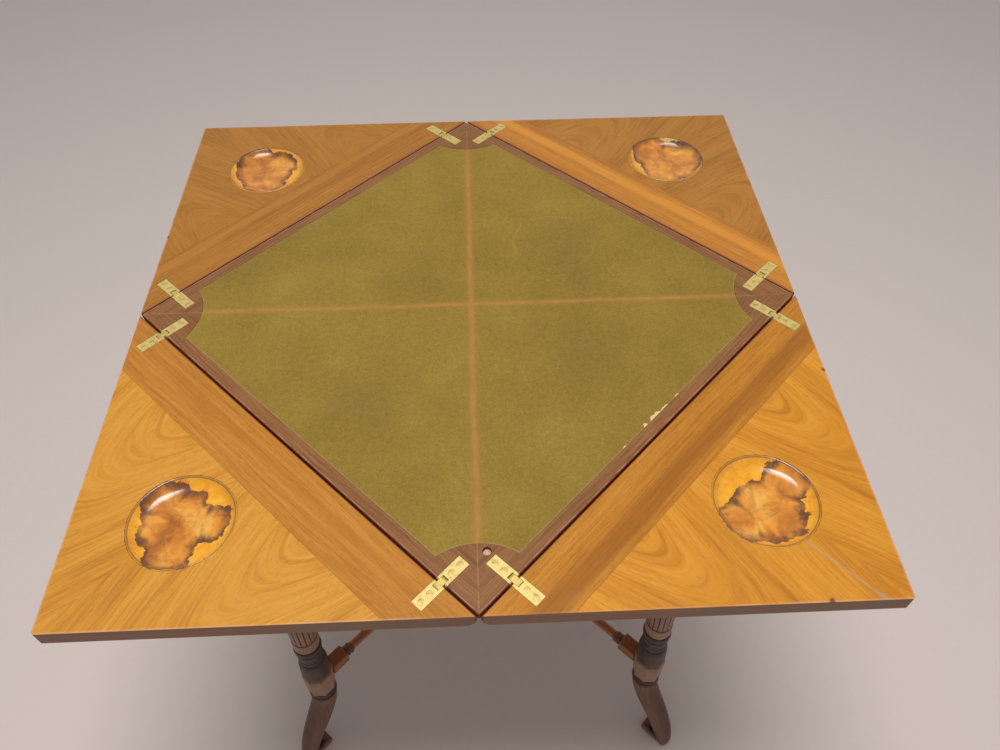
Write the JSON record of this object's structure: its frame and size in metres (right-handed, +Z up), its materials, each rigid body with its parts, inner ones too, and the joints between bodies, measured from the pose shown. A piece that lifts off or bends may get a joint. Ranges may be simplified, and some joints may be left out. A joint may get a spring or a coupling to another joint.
{
  "type": "envelope card table",
  "caption": "Open card table: a square cloth-lined board that turns on a four-legged frame, edged by triangular hinged flaps with round counter dishes",
  "frame": {"origin": "On the floor under the middle of the table, on the pivot's axis", "axes": "+Z up along the pivot, +Y towards the table's back, +X to its right seen from the front. The open flaps' outer edges and the frame's rails run along X and Y, and the board stands at 45 degrees to them"},
  "size_m": [0.7798, 0.7798, 0.74],
  "materials": {
    "board": "satin",
    "flap": "satin",
    "burr": "gloss",
    "frame": "satin",
    "peg": "matte",
    "baize": "matte",
    "brass": "satin",
    "iron": "matte"
  },
  "bodies": {
    "frame": {"leg_back_right": "frame", "leg_back_left": "frame", "leg_front_left": "frame", "leg_front_right": "frame", "rail_front": "frame", "rail_back": "frame", "rail_left": "frame", "rail_right": "frame", "pivot_bearer": "frame", "stretcher_back_right": "frame", "stretcher_back_left": "frame", "stretcher_front_left": "frame", "stretcher_front_right": "frame", "stretcher_boss": "frame"},
    "top": {"board": "board", "baize": "baize", "board_strap_back_right_a": "brass", "board_strap_back_right_b": "brass", "board_strap_back_left_a": "brass", "board_strap_back_left_b": "brass", "board_strap_front_left_a": "brass", "board_strap_front_left_b": "brass", "board_strap_front_right_a": "brass", "board_strap_front_right_b": "brass", "pivot_bolt": "iron", "pivot_washer": "iron", "pivot_nut": "iron", "peg_keeper": "brass"},
    "links_back_right": {"hinge_link_back_right_a": "brass", "hinge_link_back_right_b": "brass"},
    "flap_back_right": {"flap_back_right": "flap", "cup_back_right": "burr", "flap_strap_back_right_a": "brass", "flap_strap_back_right_b": "brass"},
    "links_back_left": {"hinge_link_back_left_a": "brass", "hinge_link_back_left_b": "brass"},
    "flap_back_left": {"flap_back_left": "flap", "cup_back_left": "burr", "flap_strap_back_left_a": "brass", "flap_strap_back_left_b": "brass"},
    "links_front_left": {"hinge_link_front_left_a": "brass", "hinge_link_front_left_b": "brass"},
    "flap_front_left": {"flap_front_left": "flap", "cup_front_left": "burr", "flap_strap_front_left_a": "brass", "flap_strap_front_left_b": "brass"},
    "links_front_right": {"hinge_link_front_right_a": "brass", "hinge_link_front_right_b": "brass"},
    "flap_front_right": {"flap_front_right": "flap", "cup_front_right": "burr", "flap_strap_front_right_a": "brass", "flap_strap_front_right_b": "brass"},
    "peg": {"lifting_peg": "peg"}
  },
  "joints": [
    {"name": "swivel", "type": "hinge", "parent": "frame", "child": "top", "pos_m": [0, 0, 0.74], "axis": [0, 0, 1], "continuous": true},
    {"name": "link_hinge_back_right", "type": "hinge", "parent": "top", "child": "links_back_right", "pos_m": [0.19233, 0.19233, 0.737], "axis": [0.7071, -0.7071, 0], "range_deg": [0, 90]},
    {"name": "flap_hinge_back_right", "type": "hinge", "parent": "links_back_right", "child": "flap_back_right", "pos_m": [0.19799, 0.19799, 0.737], "axis": [0.7071, -0.7071, 0], "range_deg": [0, 90]},
    {"name": "link_hinge_back_left", "type": "hinge", "parent": "top", "child": "links_back_left", "pos_m": [-0.19233, 0.19233, 0.737], "axis": [0.7071, 0.7071, 0], "range_deg": [0, 90]},
    {"name": "flap_hinge_back_left", "type": "hinge", "parent": "links_back_left", "child": "flap_back_left", "pos_m": [-0.19799, 0.19799, 0.737], "axis": [0.7071, 0.7071, 0], "range_deg": [0, 90]},
    {"name": "link_hinge_front_left", "type": "hinge", "parent": "top", "child": "links_front_left", "pos_m": [-0.19233, -0.19233, 0.737], "axis": [-0.7071, 0.7071, 0], "range_deg": [0, 90]},
    {"name": "flap_hinge_front_left", "type": "hinge", "parent": "links_front_left", "child": "flap_front_left", "pos_m": [-0.19799, -0.19799, 0.737], "axis": [-0.7071, 0.7071, 0], "range_deg": [0, 90]},
    {"name": "link_hinge_front_right", "type": "hinge", "parent": "top", "child": "links_front_right", "pos_m": [0.19233, -0.19233, 0.737], "axis": [-0.7071, -0.7071, 0], "range_deg": [0, 90]},
    {"name": "flap_hinge_front_right", "type": "hinge", "parent": "links_front_right", "child": "flap_front_right", "pos_m": [0.19799, -0.19799, 0.737], "axis": [-0.7071, -0.7071, 0], "range_deg": [0, 90]},
    {"name": "peg_slide", "type": "slide", "parent": "top", "child": "peg", "axis": [0, 0, 1], "range_m": [0, 0.0055]}
  ],
  "couplings": [
    {"joint": "link_hinge_back_right", "follows": "flap_hinge_back_right", "ratio": 1},
    {"joint": "link_hinge_back_left", "follows": "flap_hinge_back_left", "ratio": 1},
    {"joint": "link_hinge_front_left", "follows": "flap_hinge_front_left", "ratio": 1},
    {"joint": "link_hinge_front_right", "follows": "flap_hinge_front_right", "ratio": 1}
  ]
}
